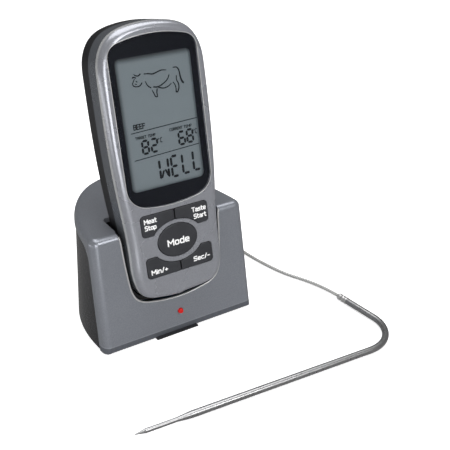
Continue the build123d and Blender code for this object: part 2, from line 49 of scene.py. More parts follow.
def face_frame(lean, ahead):
    """Across, up the face and out of it, in millimetres, to the row frame in metres."""
    across = Vector((1, 0, 0))
    up = Vector((0, math.sin(lean), math.cos(lean)))
    out = Vector((0, -math.cos(lean), math.sin(lean)))
    matrix = Matrix((across, up, out)).transposed().to_4x4()
    matrix.translation = Vector((0, DOCK_FRONT, 0)) + ahead * out
    return Matrix.Scale(MM, 4) @ matrix


RECEIVER = face_frame(LEAN, FACE_AHEAD)
DOCK_FACE = face_frame(DOCK_LEAN, 0.0)
ROW = Matrix.Scale(MM, 4)

# ------------------------------------------------------------------ camera
VIEW_RIGHT = Vector((0.84691, -0.53174, -0.00210))
VIEW_UP = Vector((0.25147, 0.39704, 0.88268))
VIEW_FORWARD = Vector((0.46852, 0.74807, -0.46997))
VIEW_PLACE = Vector((-172.26, -355.27, 254.65)) * MM
VIEW_LENS, VIEW_SENSOR = 66.37, 36.0
camera_data = bpy.data.cameras.new("camera")
camera_data.lens = VIEW_LENS
camera_data.sensor_width = VIEW_SENSOR
camera = bpy.data.objects.new("camera", camera_data)
turned = Matrix((VIEW_RIGHT, VIEW_UP, -VIEW_FORWARD)).transposed().to_4x4()
turned.translation = VIEW_PLACE
camera.matrix_world = turned
bpy.context.collection.objects.link(camera)
bpy.context.scene.camera = camera


# ------------------------------------------------------------------ making meshes
def new_object(name, mesh, material, body, smooth=True):
    """A piece with its material, riding on a CAD body."""
    piece = bpy.data.objects.new(name, mesh)
    bpy.context.collection.objects.link(piece)
    mesh.materials.append(material)
    if smooth:
        mesh.shade_smooth()
    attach(piece, body)
    return piece


def mesh_from(name, points, faces):
    mesh = bpy.data.meshes.new(name)
    mesh.from_pydata(points, [], faces)
    mesh.validate()
    return mesh


def plate_mesh(name, loops, back, front, place):
    """A flat plate between two heights out of a face, from closed loops; an inner loop is a hole."""
    bm = bmesh.new()
    for loop in loops:
        ring = [bm.verts.new((x, y, back)) for x, y in loop]
        for a, b in zip(ring, ring[1:] + ring[:1]):
            bm.edges.new((a, b))
    bmesh.ops.triangle_fill(bm, use_beauty=True, edges=bm.edges[:], normal=(0, 0, -1))
    extruded = bmesh.ops.extrude_face_region(bm, geom=bm.faces[:])["geom"]
    lifted = [part for part in extruded if isinstance(part, bmesh.types.BMVert)]
    bmesh.ops.translate(bm, verts=lifted, vec=(0, 0, front - back))
    bmesh.ops.recalc_face_normals(bm, faces=bm.faces[:])
    bm.transform(place)
    mesh = bpy.data.meshes.new(name)
    bm.to_mesh(mesh)
    bm.free()
    return mesh


def frames_along(points, closed=False):
    """A steady pair of cross directions at each point of a line."""
    count = len(points)
    side = None
    result = []
    for i, point in enumerate(points):
        before = points[(i - 1) % count] if closed else points[max(i - 1, 0)]
        after = points[(i + 1) % count] if closed else points[min(i + 1, count - 1)]
        along = (after - before).normalized()
        if side is None:
            side = along.orthogonal().normalized()
        side = (side - along * side.dot(along)).normalized()
        result.append((side, along.cross(side)))
    return result


def tube_mesh(name, points, radius, sides, closed=False):
    """A tube along a line; radius is a number, or a function of ring number and angle."""
    verts = []
    for i, (point, (side, up)) in enumerate(zip(points, frames_along(points, closed))):
        for k in range(sides):
            angle = 2 * math.pi * k / sides
            size = radius(i, angle) if callable(radius) else radius
            verts.append(point + size * (math.cos(angle) * side + math.sin(angle) * up))
    rings = len(points)
    faces = []
    for i in range(rings if closed else rings - 1):
        for k in range(sides):
            a, b = i * sides + k, i * sides + (k + 1) % sides
            c, d = ((i + 1) % rings) * sides + (k + 1) % sides, ((i + 1) % rings) * sides + k
            faces.append((a, b, c, d))
    if not closed:
        faces.append(tuple(reversed(range(sides))))
        faces.append(tuple((rings - 1) * sides + k for k in range(sides)))
    return mesh_from(name, verts, faces)


def lathe_mesh(name, profile, place, segments=48):
    """A turned piece from (along, radius) pairs; its axis is the place's Z."""
    verts, faces = [], []
    for along, radius in profile:
        for k in range(segments):
            angle = 2 * math.pi * k / segments
            verts.append(place @ Vector((radius * math.cos(angle), radius * math.sin(angle), along)))
    for i in range(len(profile) - 1):
        for k in range(segments):
            a, b = i * segments + k, i * segments + (k + 1) % segments
            faces.append((a, b, b + segments, a + segments))
    faces.append(tuple(reversed(range(segments))))
    faces.append(tuple((len(profile) - 1) * segments + k for k in range(segments)))
    return mesh_from(name, verts, faces)


# ------------------------------------------------------------------ materials
class Shader:
    """A small builder of node materials around one Principled shader."""

    def __init__(self, name, color, roughness, metallic=0.0):
        self.material = bpy.data.materials.new(name)
        self.material.use_nodes = True
        self.tree = self.material.node_tree
        self.main = self.tree.nodes["Principled BSDF"]
        self.set("Base Color", (*color, 1.0))
        self.set("Roughness", roughness)
        self.set("Metallic", metallic)
        self.color = color
        self.roughness = roughness

    def set(self, socket, value):
        self.main.inputs[socket].default_value = value

    def node(self, kind, **settings):
        node = self.tree.nodes.new(kind)
        for key, value in settings.items():
            if key in node.inputs:
                node.inputs[key].default_value = value
            else:
                setattr(node, key, value)
        return node

    def link(self, source, target):
        self.tree.links.new(source, target)

    def coordinates(self, stretch=(1, 1, 1)):
        place = self.node("ShaderNodeTexCoord")
        scaled = self.node("ShaderNodeMapping")
        scaled.inputs["Scale"].default_value = stretch
        self.link(place.outputs["Object"], scaled.inputs["Vector"])
        return scaled.outputs["Vector"]

    def noise(self, scale, detail=3.0, stretch=(1, 1, 1)):
        node = self.node("ShaderNodeTexNoise", Scale=scale, Detail=detail)
        self.link(self.coordinates(stretch), node.inputs["Vector"])
        return node.outputs["Fac"]

    def height_along(self, direction, start, end):
        """How far a point lies along a direction, as 0 at the start and 1 at the end."""
        along = self.node("ShaderNodeVectorMath", operation="DOT_PRODUCT")
        along.inputs[1].default_value = direction
        self.link(self.coordinates(), along.inputs[0])
        share = self.node("ShaderNodeMapRange")
        share.inputs["From Min"].default_value = start
        share.inputs["From Max"].default_value = end
        self.link(along.outputs["Value"], share.inputs["Value"])
        return share.outputs["Result"]

    def ramp(self, factor, stops):
        """Colours by a factor, from at least two pairs of position and colour in rising order."""
        node = self.node("ShaderNodeValToRGB")
        elements = node.color_ramp.elements
        for i, (position, color) in enumerate(stops):
            element = elements[i] if i < 2 else elements.new(position)
            element.position = position
            element.color = (*color, 1)
        self.link(factor, node.inputs["Fac"])
        return node.outputs["Color"]

    def tint(self, factor, low, high, start=0.3, end=0.7):
        """Lets a pattern vary the base colour between two brightnesses of it."""
        dark, light = [c * low for c in self.color], [min(c * high, 1) for c in self.color]
        color = self.ramp(factor, [(start, dark), (end, light)])
        self.link(color, self.main.inputs["Base Color"])
        return color

    def shaded(self, color, shade):
        """Sets the base colour to one pattern times another."""
        mixed = self.node("ShaderNodeMix", data_type="RGBA", blend_type="MULTIPLY")
        mixed.inputs["Factor"].default_value = 1.0
        self.link(color, mixed.inputs[6])
        self.link(shade, mixed.inputs[7])
        self.link(mixed.outputs[2], self.main.inputs["Base Color"])

    def rough(self, factor, low, high):
        spread = self.node("ShaderNodeMapRange")
        spread.inputs["To Min"].default_value = low
        spread.inputs["To Max"].default_value = high
        self.link(factor, spread.inputs["Value"])
        self.link(spread.outputs["Result"], self.main.inputs["Roughness"])

    def bump(self, factor, height, strength=0.3):
        node = self.node("ShaderNodeBump", Strength=strength, Distance=height)
        self.link(factor, node.inputs["Height"])
        self.link(node.outputs["Normal"], self.main.inputs["Normal"])


PLAIN = (1, 1, 1)
# paint made lighter along the crease between crown and side wall: a painted highlight
CREASE_HIGHLIGHT = (1.75, 1.72, 1.58)
IN_SHADE = (0.42, 0.44, 0.45)
SHELL_DEPTH = 20 * MM
FOOT_HEIGHT = 10 * MM


def shell_bands(shader, flakes):
    """The receiver's paint by depth behind its face: even, a painted highlight along the crease, then the
    side wall darker as painted shade.
    """
    out = RECEIVER.to_3x3().col[2].normalized()
    face = out.dot(RECEIVER.translation)
    depth = shader.height_along(out, face, face - SHELL_DEPTH)
    # the lighter band is a painted highlight on the crease, the darker side wall behind it painted shade
    stops = [(0.13, PLAIN), (0.18, CREASE_HIGHLIGHT), (0.228, CREASE_HIGHLIGHT), (0.248, IN_SHADE)]
    shader.shaded(flakes, shader.ramp(depth, stops))


def foot_band(shader, flakes):
    """The dock's paint: darker on the turned-under strip along its foot as painted shade, with a painted
    highlight line above it.
    """
    height = shader.height_along((0, 0, 1), 0.0, FOOT_HEIGHT)
    # strip is painted shade on the bevel, line a painted highlight along its top edge
    strip, line = (0.55, 0.56, 0.57), (1.25, 1.25, 1.25)
    stops = [(0.34, strip), (0.37, line), (0.40, line), (0.44, PLAIN)]
    shader.shaded(flakes, shader.ramp(height, stops))


def metallic_paint(name, color, roughness, bands=None):
    """Silver paint on moulded plastic: fine flakes, a slightly uneven gloss, a thin clear coat."""
    shader = Shader(name, color, roughness, 0.55)
    shader.set("Coat Weight", 0.25)
    shader.set("Coat Roughness", 0.18)
    flakes = shader.node("ShaderNodeTexVoronoi", Scale=4200.0)
    shader.link(shader.coordinates(), flakes.inputs["Vector"])
    grey = shader.node("ShaderNodeRGBToBW")
    shader.link(flakes.outputs["Color"], grey.inputs["Color"])
    flaked = shader.tint(grey.outputs["Val"], 0.92, 1.08)
    if bands:
        bands(shader, flaked)
    shader.rough(shader.noise(60.0), roughness - 0.03, roughness + 0.04)
    shader.bump(shader.noise(2600.0, 2.0), 0.00002, 0.04)
    return shader.material


def moulded(name, color, roughness, grain=1800.0, height=0.00003, strength=0.25, coat=0.0):
    """Moulded plastic or rubber: a fine surface grain and slightly uneven gloss."""
    shader = Shader(name, color, roughness)
    shader.tint(shader.noise(90.0), 0.88, 1.12)
    shader.rough(shader.noise(45.0), max(roughness - 0.05, 0.03), roughness + 0.06)
    shader.bump(shader.noise(grain, 2.0), height, strength)
    if coat:
        shader.set("Coat Weight", coat)
        shader.set("Coat Roughness", 0.08)
    return shader.material


def bare_metal(name, color, roughness, stretch=(1, 1, 1), grain=900.0, metallic=1.0):
    """Bare metal with fine drawing or polishing marks."""
    shader = Shader(name, color, roughness, metallic)
    marks = shader.noise(grain, 4.0, stretch)
    shader.tint(marks, 0.88, 1.08)
    shader.rough(shader.noise(120.0, 3.0), roughness * 0.8, roughness * 1.35)
    shader.bump(marks, 0.00002, 0.12)
    return shader.material


def clear_lens(name):
    """The smoked acrylic window: nearly clear, with a hard gloss."""
    shader = Shader(name, (0.012, 0.014, 0.02), 0.045)
    shader.set("Alpha", 0.16)
    shader.set("IOR", 1.49)
    shader.set("Coat Weight", 0.4)
    shader.set("Coat Roughness", 0.03)
    return shader.material


# the axis, and where along it the shade at that edge of the display is deepest and gone
LCD_SHADES = (("X", -0.0199, -0.0168), ("Z", 0.1437, 0.1402))
LCD_SHADE_DEPTH = 0.12


def lcd_glass(name, color):
    """The display's grey glass, shaded along its left and upper edges by the frame in front of it."""
    shader = Shader(name, color, 0.5)
    parts = shader.node("ShaderNodeSeparateXYZ")
    shader.link(shader.coordinates(), parts.inputs["Vector"])
    shades = []
    for axis, dark, light in LCD_SHADES:
        shade = shader.node("ShaderNodeMapRange", interpolation_type="SMOOTHSTEP")
        shade.inputs["From Min"].default_value = dark
        shade.inputs["From Max"].default_value = light
        shade.inputs["To Min"].default_value = LCD_SHADE_DEPTH
        shader.link(parts.outputs[axis], shade.inputs["Value"])
        shades.append(shade.outputs["Result"])
    both = shader.node("ShaderNodeMath", operation="MULTIPLY")
    shader.link(shades[0], both.inputs[0])
    shader.link(shades[1], both.inputs[1])
    mixed = shader.node("ShaderNodeMix", data_type="RGBA")
    mixed.inputs[6].default_value = (*[c * 0.1 for c in color], 1)
    mixed.inputs[7].default_value = (*color, 1)
    shader.link(both.outputs["Value"], mixed.inputs["Factor"])
    shader.link(mixed.outputs[2], shader.main.inputs["Base Color"])
    shader.rough(shader.noise(45.0), 0.45, 0.55)
    return shader.material


def lit_lens(name, color, glow):
    shader = Shader(name, color, 0.12)
    shader.tint(shader.noise(900.0), 0.8, 1.2)
    shader.set("Emission Color", (*color, 1))
    shader.set("Emission Strength", glow)
    shader.set("Coat Weight", 1.0)
    shader.set("Coat Roughness", 0.04)
    return shader.material


def flat_print(name, color, roughness=0.45):
    """Ink: nearly even, with a faint mottle."""
    shader = Shader(name, color, roughness)
    shader.tint(shader.noise(1500.0, 2.0), 0.9, 1.06)
    return shader.material


GREY_PAINT = metallic_paint("grey_metallic_paint", (0.355, 0.365, 0.40), 0.27, shell_bands)
DOCK_PAINT = metallic_paint("dock_metallic_paint", (0.285, 0.30, 0.335), 0.3, foot_band)
# a lighter copy of the shell paints: a painted highlight on the rounded lips along edges
HIGHLIGHT_EDGE_PAINT = metallic_paint("highlight_edge_metallic_paint", (0.62, 0.62, 0.62), 0.28)
BLACK_GLOSS = moulded("black_gloss_plastic", (0.010, 0.010, 0.012), 0.16, 600.0, 0.00002, 0.1, 0.4)
BLACK_SATIN = moulded("black_satin_plastic", (0.014, 0.014, 0.016), 0.36)
POCKET_BLACK = moulded("pocket_black_plastic", (0.012, 0.012, 0.013), 0.55)
KEY_CHARCOAL = moulded("key_charcoal_plastic", (0.030, 0.031, 0.036), 0.42, 2600.0, 0.00002, 0.2)
LENS_CLEAR = clear_lens("smoked_lens_acrylic")
LENS_PRINT = moulded("lens_border_print", (0.004, 0.005, 0.009), 0.3, 400.0, 0.00001, 0.05)
LCD_GLASS = lcd_glass("lcd_grey_glass", (0.25, 0.30, 0.325))
LCD_INK = flat_print("lcd_segment_ink", (0.005, 0.006, 0.008), 0.6)
KEY_INK = flat_print("key_legend_ink", (0.85, 0.85, 0.85))
RED_LENS = lit_lens("red_indicator_lens", (0.55, 0.008, 0.006), 0.08)
STAINLESS = bare_metal("polished_stainless_rod", (0.42, 0.42, 0.425), 0.26, metallic=0.86)
CRIMP = bare_metal("bright_crimp", (0.62, 0.615, 0.61), 0.3, metallic=0.75)
SCREW_STEEL = bare_metal("zinc_screw", (0.55, 0.56, 0.58), 0.3)
CONTACT = bare_metal("nickel_contact", (0.68, 0.67, 0.63), 0.22)
COPPER = bare_metal("copper_wire", (0.75, 0.40, 0.24), 0.25)
GOLD = bare_metal("gilt_plug_pin", (0.80, 0.60, 0.28), 0.2)
SHIELD = bare_metal("shield_can", (0.66, 0.66, 0.67), 0.32)
BOARD = moulded("board_solder_mask", (0.012, 0.09, 0.035), 0.32, 1200.0, 0.00003, 0.3)
CHIP = moulded("chip_moulding", (0.012, 0.012, 0.013), 0.5)
SILICONE = moulded("grey_silicone", (0.33, 0.33, 0.35), 0.6)
CELL = moulded("cell_jacket", (0.03, 0.06, 0.10), 0.25, 600.0, 0.00001, 0.1, 0.5)
RUBBER_BLACK = moulded("black_rubber", (0.014, 0.014, 0.014), 0.62)


def braid_material():
    """Stainless braid: bright wires and dark gaps, by the mesh's own relief; the darker gaps are painted
    shade.
    """
    shader = Shader("steel_braid", (0.50, 0.50, 0.49), 0.38, 0.45)
    relief = shader.node("ShaderNodeAttribute", attribute_name="relief")
    # darker between the wires: painted shade in the gaps of the real relief
    shader.tint(relief.outputs["Fac"], 0.22, 1.35, 0.15, 0.8)
    shader.bump(shader.noise(5000.0, 2.0), 0.00002, 0.3)
    return shader.material


BRAID = braid_material()

NODE_MATERIALS = {
    GREY_PAINT: ["receiver_front_shell"],
    DOCK_PAINT: ["dock_front_shell"],
    BLACK_GLOSS: ["dock_rear_body", "plug_body", "probe_jack", "power_switch_body"],
    BLACK_SATIN: ["receiver_rear_cover", "receiver_battery_door", "dock_bottom_cover", "dock_battery_door"],
    POCKET_BLACK: ["dock_pocket_liner", "display_holder"],
    KEY_CHARCOAL: ["mode_button", "key_upper_left", "key_upper_right", "key_lower_left", "key_lower_right",
                   "power_switch_knob"],
    LENS_CLEAR: ["display_lens"],
    LCD_GLASS: ["display_panel"],
    RED_LENS: ["indicator_light"],
    STAINLESS: ["probe_tube", "probe_tip"],
    SCREW_STEEL: ["dock_screws", "receiver_screws"],
    CONTACT: ["dock_battery_contacts", "receiver_battery_contacts"],
    COPPER: ["dock_antenna", "receiver_antenna"],
    GOLD: ["plug_pin"],
    SHIELD: ["dock_radio_module", "receiver_radio_module"],
    BOARD: ["dock_circuit_board", "receiver_circuit_board"],
    CHIP: ["receiver_processor", "buzzer"],
    SILICONE: ["keypad_mat", "display_connectors"],
    CELL: ["dock_batteries", "receiver_batteries"],
}
for finish, names in NODE_MATERIALS.items():
    for name in names:
        for material_slot in nodes[name].material_slots:
            material_slot.material = finish

# ------------------------------------------------------------------ plug, cable and ferrule
CABLE = 1.9
JACK = Vector((22.0, 30.4, 9.0))
JACK_YAW = math.radians(54.5)
PLUG_LENGTH, RELIEF_LENGTH = 17.0, 13.0
COIL_CENTRE = Vector((58.5, 58.7, 0.0))
COIL_RADII = (9.5, 11.4, 13.3)
COIL_LAYERS = 4
COIL_START = 0.6            # the first turn is joined this far round
POINTS_PER_TURN = 15
BOTTOM_Z = 1.0

LEAD_POINTS = [(39.42, 54.82, 9.0), (43.2, 59.9, 8.7)]
RUN_POINTS = [
    (71.3, 45.5, 1.0),
    (70.3, 32.0, 1.0),
    (71.4, 18.0, 1.0),
    (72.2, 6.0, 1.0),
    (74.6, -8.5, 1.0),
    (78.2, -22.5, 1.0),
    (83.9, -34.4, 1.1),
    (87.5, -47.0, 1.5),
    (88.5, -58.6, 1.95),
]


def eased(value):
    value = min(max(value, 0.0), 1.0)
    return value * value * (3 - 2 * value)


def coil_points():
    """The coil's turns, from the top layer down, wound inwards and outwards by turns."""
    columns = list(reversed(COIL_RADII))
    radii, heights = [], []
    for layer in range(COIL_LAYERS):
        order = columns if layer % 2 == 0 else columns[::-1]
        radii += order
        heights += [BOTTOM_Z + CABLE * (COIL_LAYERS - 1 - layer)] * len(columns)
    turns = len(radii)
    steps = round((turns - COIL_START) * POINTS_PER_TURN)
    points = []
    for i in range(steps + 1):
        turn = COIL_START + (turns - COIL_START) * i / steps
        whole = min(int(turn), turns - 1)
        following = min(whole + 1, turns - 1)
        part = turn - whole
        radius = radii[whole] + (radii[following] - radii[whole]) * eased((part - 0.85) / 0.15)
        height = heights[whole] + (heights[following] - heights[whole]) * eased((part - 0.65) / 0.2)
        angle = 2 * math.pi * (turns - turn)
        points.append(COIL_CENTRE + Vector((radius * math.cos(angle), radius * math.sin(angle), height)))
    return points


def nurbs_line(name, points):
    """The points that a smooth NURBS line passes, in metres."""
    curve = bpy.data.curves.new(name, "CURVE")
    curve.dimensions = "3D"
    curve.resolution_u = 12
    spline = curve.splines.new("NURBS")
    spline.points.add(len(points) - 1)
    for target, point in zip(spline.points, points):
        target.co = (*(Vector(point) * MM), 1.0)
    spline.order_u = 3
    spline.use_endpoint_u = True
    carrier = bpy.data.objects.new(name, curve)
    bpy.context.collection.objects.link(carrier)
    bpy.context.view_layer.update()
    line_mesh = bpy.data.meshes.new_from_object(carrier)
    line = [v.co.copy() for v in line_mesh.vertices]
    bpy.data.objects.remove(carrier)
    bpy.data.curves.remove(curve)
    bpy.data.meshes.remove(line_mesh)
    return line


def evenly(line, step):
    """The same line with points a fixed distance apart."""
    result = [line[0]]
    rest = step
    for a, b in zip(line, line[1:]):
        length = (b - a).length
        while rest <= length and length > 0:
            result.append(a.lerp(b, rest / length))
            rest += step
        rest -= length
    result.append(line[-1])
    return result


RING_STEP = 0.45 * MM
BRAID_SIDES = 16
BRAID_STARTS = 4
BRAID_PITCH = 7.2 * MM

cable_line = evenly(nurbs_line("cable_route", LEAD_POINTS + coil_points() + RUN_POINTS), RING_STEP)


def braid_relief(i, angle):
    """0 between the braid's wires and 1 on them: two sets of wires, crossing over and under."""
    wind = 2 * math.pi * i * RING_STEP / BRAID_PITCH * BRAID_STARTS
    right = math.cos(BRAID_STARTS * angle + wind)
    left = math.cos(BRAID_STARTS * angle - wind)
    return 0.5 + 0.5 * max(right, left)


def wire_radius(i, angle):
    return CABLE / 2 * MM * (0.9 + 0.1 * braid_relief(i, angle))


def braided_cable():
    mesh = tube_mesh("braided_cable", cable_line, wire_radius, BRAID_SIDES)
    relief = mesh.attributes.new("relief", "FLOAT", "POINT")
    angles = [2 * math.pi * k / BRAID_SIDES for k in range(BRAID_SIDES)]
    values = [braid_relief(i, angle) for i in range(len(cable_line)) for angle in angles]
    relief.data.foreach_set("value", values)
    return new_object("braided_cable", mesh, BRAID, "dock")


cable = braided_cable()
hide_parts("cable_lead", "cable_coil", "cable_run")

jack_along = Vector((math.cos(JACK_YAW), math.sin(JACK_YAW), 0))


def pointing(place, direction):
    """The matrix in metres that puts a turned piece at a place in millimetres, along a direction."""
    turn = Vector((0, 0, 1)).rotation_difference(direction).to_matrix().to_4x4()
    return ROW @ Matrix.Translation(place) @ turn


plug_place = pointing(JACK, jack_along)


def ribbed(start, end, first, last, ribs, depth):
    """A tapering profile with rounded ribs."""
    steps = ribs * 8
    profile = []
    for i in range(steps + 1):
        share = i / steps
        wave = 0.5 - 0.5 * math.cos(2 * math.pi * ribs * share)
        profile.append((start + (end - start) * share, first + (last - first) * share - depth * wave))
    return profile


RELIEF_END = PLUG_LENGTH + RELIEF_LENGTH
relief_ribs = ribbed(PLUG_LENGTH, RELIEF_END, 2.5, 1.4, 7, 0.32)
relief_profile = [(PLUG_LENGTH - 0.02, 2.1), *relief_ribs, (RELIEF_END + 0.1, 1.1)]
relief_mesh = lathe_mesh("ribbed_strain_relief", relief_profile, plug_place)
strain_relief = new_object("ribbed_strain_relief", relief_mesh, RUBBER_BLACK, "dock")
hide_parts("plug_strain_relief")

FERRULE_START = Vector((88.5, -58.4, 1.95))
BEND_CORNER = Vector((93.0, -107.6, 1.95))
# along the sleeve and its radius: a rounded mouth, then two crimped waists
FERRULE_PROFILE = [
    (-0.1, 0.9), (0.0, 1.45), (0.25, 1.72), (0.6, 1.85), (1.3, 1.9), (1.6, 1.84), (1.85, 1.55), (2.3, 1.5),
    (2.75, 1.55), (3.0, 1.84), (3.3, 1.9), (3.8, 1.9), (4.1, 1.84), (4.35, 1.6), (4.7, 1.56), (5.05, 1.6),
    (5.3, 1.84), (5.6, 1.9), (6.1, 1.88), (6.4, 1.8), (6.5, 1.6),
]
short_leg = (BEND_CORNER - FERRULE_START).normalized()
ferrule_mesh = lathe_mesh("crimped_ferrule", FERRULE_PROFILE, pointing(FERRULE_START, short_leg))
ferrule = new_object("crimped_ferrule", ferrule_mesh, CRIMP, "dock")
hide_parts("probe_ferrule")

# ------------------------------------------------------------------ outlines on the receiver's face
LENS_HALF, LENS_LOW, LENS_HIGH, LENS_ARC = 23.3, 71.9, 154.6, 70.0
LENS_TOP_ROUND, LENS_FOOT_ROUND = 7.0, 11.0
WINDOW_X, WINDOW_LOW, WINDOW_HIGH, WINDOW_CORNER = 19.8, 81.5, 145.2, 2.5
PRINT_OUT, PRINT_THICK = -1.14, 0.03        # just behind the lens


def rounded_box(x0, x1, y0, y1, radius, steps=8):
    """A closed loop round a box with round corners."""
    loop = []
    corners = [(x1 - radius, y0 + radius, -90), (x1 - radius, y1 - radius, 0),
               (x0 + radius, y1 - radius, 90), (x0 + radius, y0 + radius, 180)]
    for cx, cy, start in corners:
        for i in range(steps + 1):
            angle = math.radians(start + 90 * i / steps)
            loop.append((cx + radius * math.cos(angle), cy + radius * math.sin(angle)))
    return loop


def arc_side(sign, grow):
    """The lens's right half at its top (sign 1) or bottom (-1): the flat arc and the round corner."""
    radius = (LENS_TOP_ROUND if sign > 0 else LENS_FOOT_ROUND) + grow
    big = LENS_ARC + grow
    centre_y = (LENS_HIGH - LENS_ARC) if sign > 0 else (LENS_LOW + LENS_ARC)
    half = LENS_HALF + grow
    inner = big - radius
    corner_x = half - radius
    corner_y = centre_y + sign * math.sqrt(inner * inner - corner_x * corner_x)
    lean = math.atan2(corner_x, abs(corner_y - centre_y))
    points = []
    for i in range(13):
        angle = lean * i / 12
        points.append((big * math.sin(angle), centre_y + sign * big * math.cos(angle)))
    for i in range(1, 11):
        angle = lean + (math.pi / 2 - lean) * i / 10
        points.append((corner_x + radius * math.sin(angle), corner_y + sign * radius * math.cos(angle)))
    return points


def lens_loop(grow=0.0):
    top = arc_side(1, grow)
    bottom = arc_side(-1, grow)
    right = top + bottom[::-1]
    left = [(-x, y) for x, y in reversed(right) if x > 1e-6]
    return right + left


def oval_loop(centre_y, half_x, half_y, steps):
    return [
        (half_x * math.cos(2 * math.pi * i / steps), centre_y + half_y * math.sin(2 * math.pi * i / steps))
        for i in range(steps)
    ]


def bead(name, loop, out, radius, material, body, place, closed=True, sides=8):
    """A thin rounded lip along a line on a face."""
    points = [place @ Vector((x, y, out)) for x, y in loop]
    return new_object(name, tube_mesh(name, points, radius * MM, sides, closed), material, body)


# the black print behind the lens, which leaves the window clear
window_loop = rounded_box(-WINDOW_X, WINDOW_X, WINDOW_LOW, WINDOW_HIGH, WINDOW_CORNER)
print_loops = [lens_loop(-0.05), window_loop]
print_mesh = plate_mesh("lens_border", print_loops, PRINT_OUT, PRINT_OUT + PRINT_THICK, RECEIVER)
lens_border = new_object("lens_border", print_mesh, LENS_PRINT, "receiver", smooth=False)

# a rounded lip round the lens recess; its lighter paint is a painted highlight
lens_lip = bead("lens_recess_edge", lens_loop(0.2), 0.0, 0.17, HIGHLIGHT_EDGE_PAINT, "receiver", RECEIVER)

# ------------------------------------------------------------------ the display's segments
LCD_OUT = -2.26
INK_THICK = 0.03
ink_bars = []
ink_lines = []


def smooth_line(points, steps):
    """Points on the smooth line through the given ones; one step keeps it straight between them."""
    line = []
    padded = [points[0]] + points + [points[-1]]
    for p0, p1, p2, p3 in zip(padded, padded[1:], padded[2:], padded[3:]):
        for i in range(steps):
            t = i / steps
            line.append(tuple(
                0.5 * (2 * b + (c - a) * t
                       + (2 * a - 5 * b + 4 * c - d) * t ** 2
                       + (3 * b - a - 3 * c + d) * t ** 3)
                for a, b, c, d in zip(p0, p1, p2, p3)
            ))
    line.append(points[-1])
    return line


def ribbon(points, width, end_width=None, steps=6):
    """The two edges of an inked line through points, which may taper."""
    end_width = width if end_width is None else end_width
    line = smooth_line(points, steps)
    left, right = [], []
    for i, (x, y) in enumerate(line):
        before, after = line[max(i - 1, 0)], line[min(i + 1, len(line) - 1)]
        dx, dy = after[0] - before[0], after[1] - before[1]
        length = math.hypot(dx, dy) or 1.0
        half = (width + (end_width - width) * i / (len(line) - 1)) / 2
        left.append((x - dy / length * half, y + dx / length * half))
        right.append((x + dy / length * half, y - dx / length * half))
    return left, right


def add_strip(merged, edges, back, front):
    """A ribbon as a thin solid on the receiver's face, added to a mesh in the making."""
    rows = []
    for (lx, ly), (rx, ry) in zip(*edges):
        corners = ((lx, ly, back), (rx, ry, back), (rx, ry, front), (lx, ly, front))
        rows.append([merged.verts.new(RECEIVER @ Vector(corner)) for corner in corners])
    for a, b in zip(rows, rows[1:]):
        for k in range(4):
            merged.faces.new((a[k], a[(k + 1) % 4], b[(k + 1) % 4], b[k]))
    merged.faces.new(rows[0][::-1])
    merged.faces.new(rows[-1])


def stroke(points, width, end_width=None, steps=6):
    ink_lines.append(ribbon(points, width, end_width, steps))


def bar(x0, y0, x1, y1, width):
    """A display segment: a straight bar with pointed ends."""
    along = Vector((x1 - x0, y1 - y0))
    length = along.length
    along /= length
    across = Vector((-along.y, along.x)) * width / 2
    start, end = Vector((x0, y0)), Vector((x1, y1))
    tip = along * width / 2
    loop = [start, start + tip - across, end - tip - across, end, end - tip + across, start + tip + across]
    ink_bars.append([tuple(corner) for corner in loop])


SEGMENTS = {
    "6": "afgedc",
    "8": "abcdefg",
    "2": "abged",
    "E": "afged",
    "L": "fed",
    "C": "afed",
}


def digit(character, x, y, width, height, thick, gap=0.25):
    """A seven-segment character with its lower left corner at x, y."""
    half = height / 2
    ends = {
        "a": ((0, height), (width, height)), "d": ((0, 0), (width, 0)), "g": ((0, half), (width, half)),
        "f": ((0, half), (0, height)), "b": ((width, half), (width, height)),
        "e": ((0, 0), (0, half)), "c": ((width, 0), (width, half)),
    }
    for name in SEGMENTS[character]:
        (ax, ay), (bx, by) = ends[name]
        reach = math.hypot(bx - ax, by - ay)
        ux, uy = (bx - ax) / reach * gap, (by - ay) / reach * gap
        bar(x + ax + ux, y + ay + uy, x + bx - ux, y + by - uy, thick)


def letter_w(x, y, width, height, thick):
    """The display's W: two uprights, and a short pair that leans in from their feet."""
    half = height / 2
    for side in (0, width):
        bar(x + side, y + 0.25, x + side, y + half - 0.25, thick)
        bar(x + side, y + half + 0.25, x + side, y + height - 0.25, thick)
    bar(x + 0.55, y + 0.5, x + width / 2 - 0.1, y + half - 0.5, thick * 0.8)
    bar(x + width / 2 + 0.5, y + half - 0.3, x + width - 0.25, y + 0.9, thick * 0.8)


def degree_mark(x, y):
    """A small ring, as its outer and inner loops."""
    return [[(x + px, py) for px, py in oval_loop(y, radius, radius, 16)] for radius in (0.45, 0.2)]


# two rules, the two temperatures with their units, and the word WELL
stroke([(-16.0, 109.8), (20.0, 110.9)], 0.42, steps=1)
stroke([(-16.0, 96.6), (19.7, 98.0)], 0.42, steps=1)
for character, x, y in (("8", -11.0, 99.0), ("2", -6.2, 99.0), ("6", 8.9, 99.5), ("8", 13.5, 99.7)):
    digit(character, x, y, 3.2, 6.2, 1.12, 0.18)
for x, y in ((-1.1, 102.9), (18.3, 103.4)):
    digit("C", x, y, 1.1, 2.1, 0.5, 0.06)
letter_w(-3.4, 84.6, 4.6, 10.0, 1.25)
for character, x, y, width, height in (
    ("E", 3.1, 84.6, 3.6, 10.1), ("L", 9.2, 84.9, 3.8, 9.9), ("L", 15.3, 85.2, 3.8, 9.9),
):
    digit(character, x, y, width, height, 1.25)

